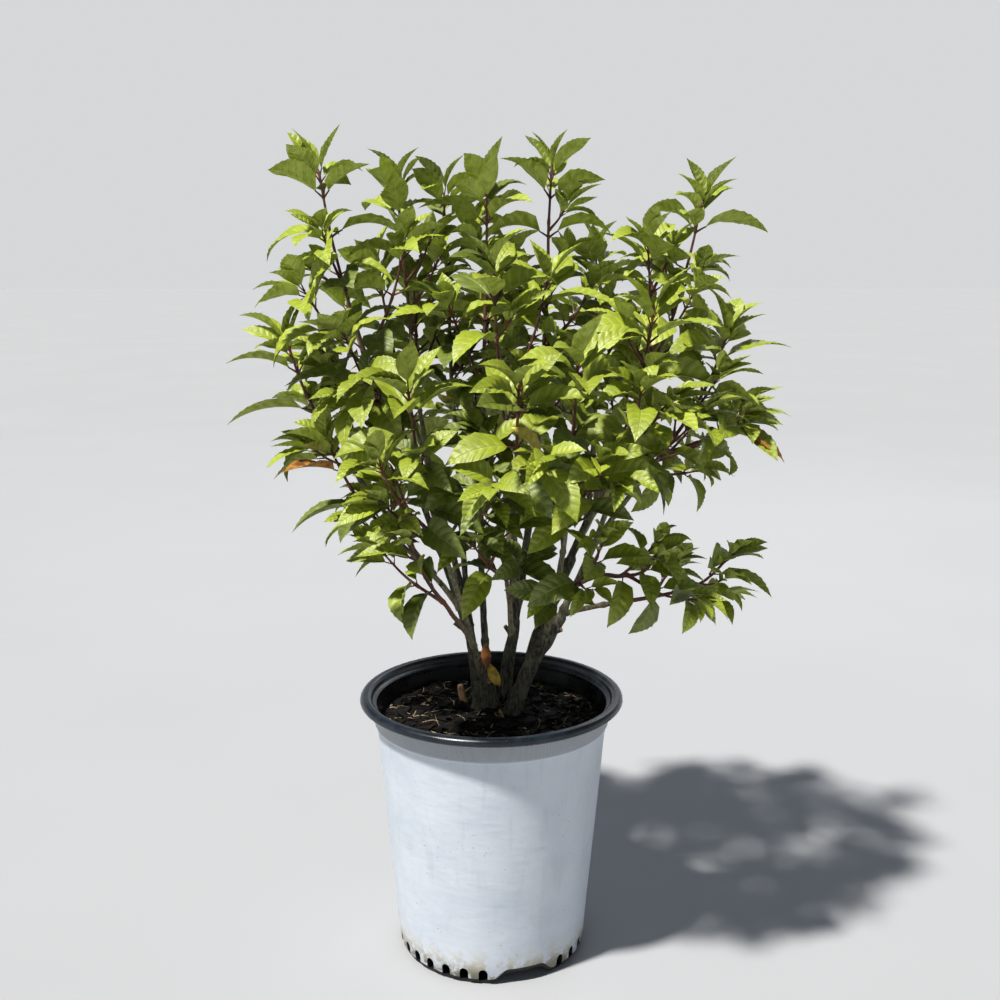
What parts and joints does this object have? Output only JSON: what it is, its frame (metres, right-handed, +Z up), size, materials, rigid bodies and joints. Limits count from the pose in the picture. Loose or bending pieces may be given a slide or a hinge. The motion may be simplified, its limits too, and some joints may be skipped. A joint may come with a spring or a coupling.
{
  "type": "potted panicle hydrangea",
  "caption": "Leafy shrub with forked woody stems and pointed yellow-green leaves, growing in a tapered round nursery pot with a heavy rim, arched drain slots and a pale sleeve.",
  "frame": {"origin": "centre of the pot's flat underside", "axes": "+Z up along the pot's axis, +X to the right and +Y away from the viewer of the picture"},
  "size_m": [0.5773, 0.5121, 0.8672],
  "materials": {
    "black_plastic": "satin, lightly ribbed and scuffed",
    "white_film": "satin film with soil specks and water stains",
    "potting_mix": "damp composted bark, loose and rough",
    "bark": "grey-brown, fissured on the old stems and smooth on the young ones",
    "leaf": "soft sheen, quilted between the veins"
  },
  "bodies": {
    "root": {"pot": "black_plastic", "pot_sleeve": "white_film", "potting_mix": "potting_mix", "trunk_left": "bark", "trunk_right": "bark", "trunk_middle": "bark", "trunk_back_left": "bark", "trunk_back_right": "bark", "back_centre": "bark", "back_left": "bark", "back_mid": "bark", "back_right": "bark", "centre_left": "bark", "edge_right": "bark", "far_left": "bark", "far_right": "bark", "front_centre": "bark", "front_high": "bark", "front_left": "bark", "front_right": "bark", "high_back": "bark", "high_back_right": "bark", "high_left": "bark", "high_right": "bark", "left_back": "bark", "low_left": "bark", "near_right": "bark", "skirt_centre": "bark", "skirt_front": "bark", "skirt_left": "bark", "skirt_near": "bark", "skirt_right": "bark", "tall_left": "bark", "tower_right": "bark", "back_centre_foliage": "leaf", "back_left_foliage": "leaf", "back_mid_foliage": "leaf", "back_right_foliage": "leaf", "centre_left_foliage": "leaf", "edge_right_foliage": "leaf", "far_left_foliage": "leaf", "far_right_foliage": "leaf", "front_centre_foliage": "leaf", "front_high_foliage": "leaf", "front_left_foliage": "leaf", "front_right_foliage": "leaf", "high_back_foliage": "leaf", "high_back_right_foliage": "leaf", "high_left_foliage": "leaf", "high_right_foliage": "leaf", "left_back_foliage": "leaf", "low_left_foliage": "leaf", "near_right_foliage": "leaf", "skirt_centre_foliage": "leaf", "skirt_front_foliage": "leaf", "skirt_left_foliage": "leaf", "skirt_near_foliage": "leaf", "skirt_right_foliage": "leaf", "tall_left_foliage": "leaf", "tower_right_foliage": "leaf"}
  },
  "joints": []
}
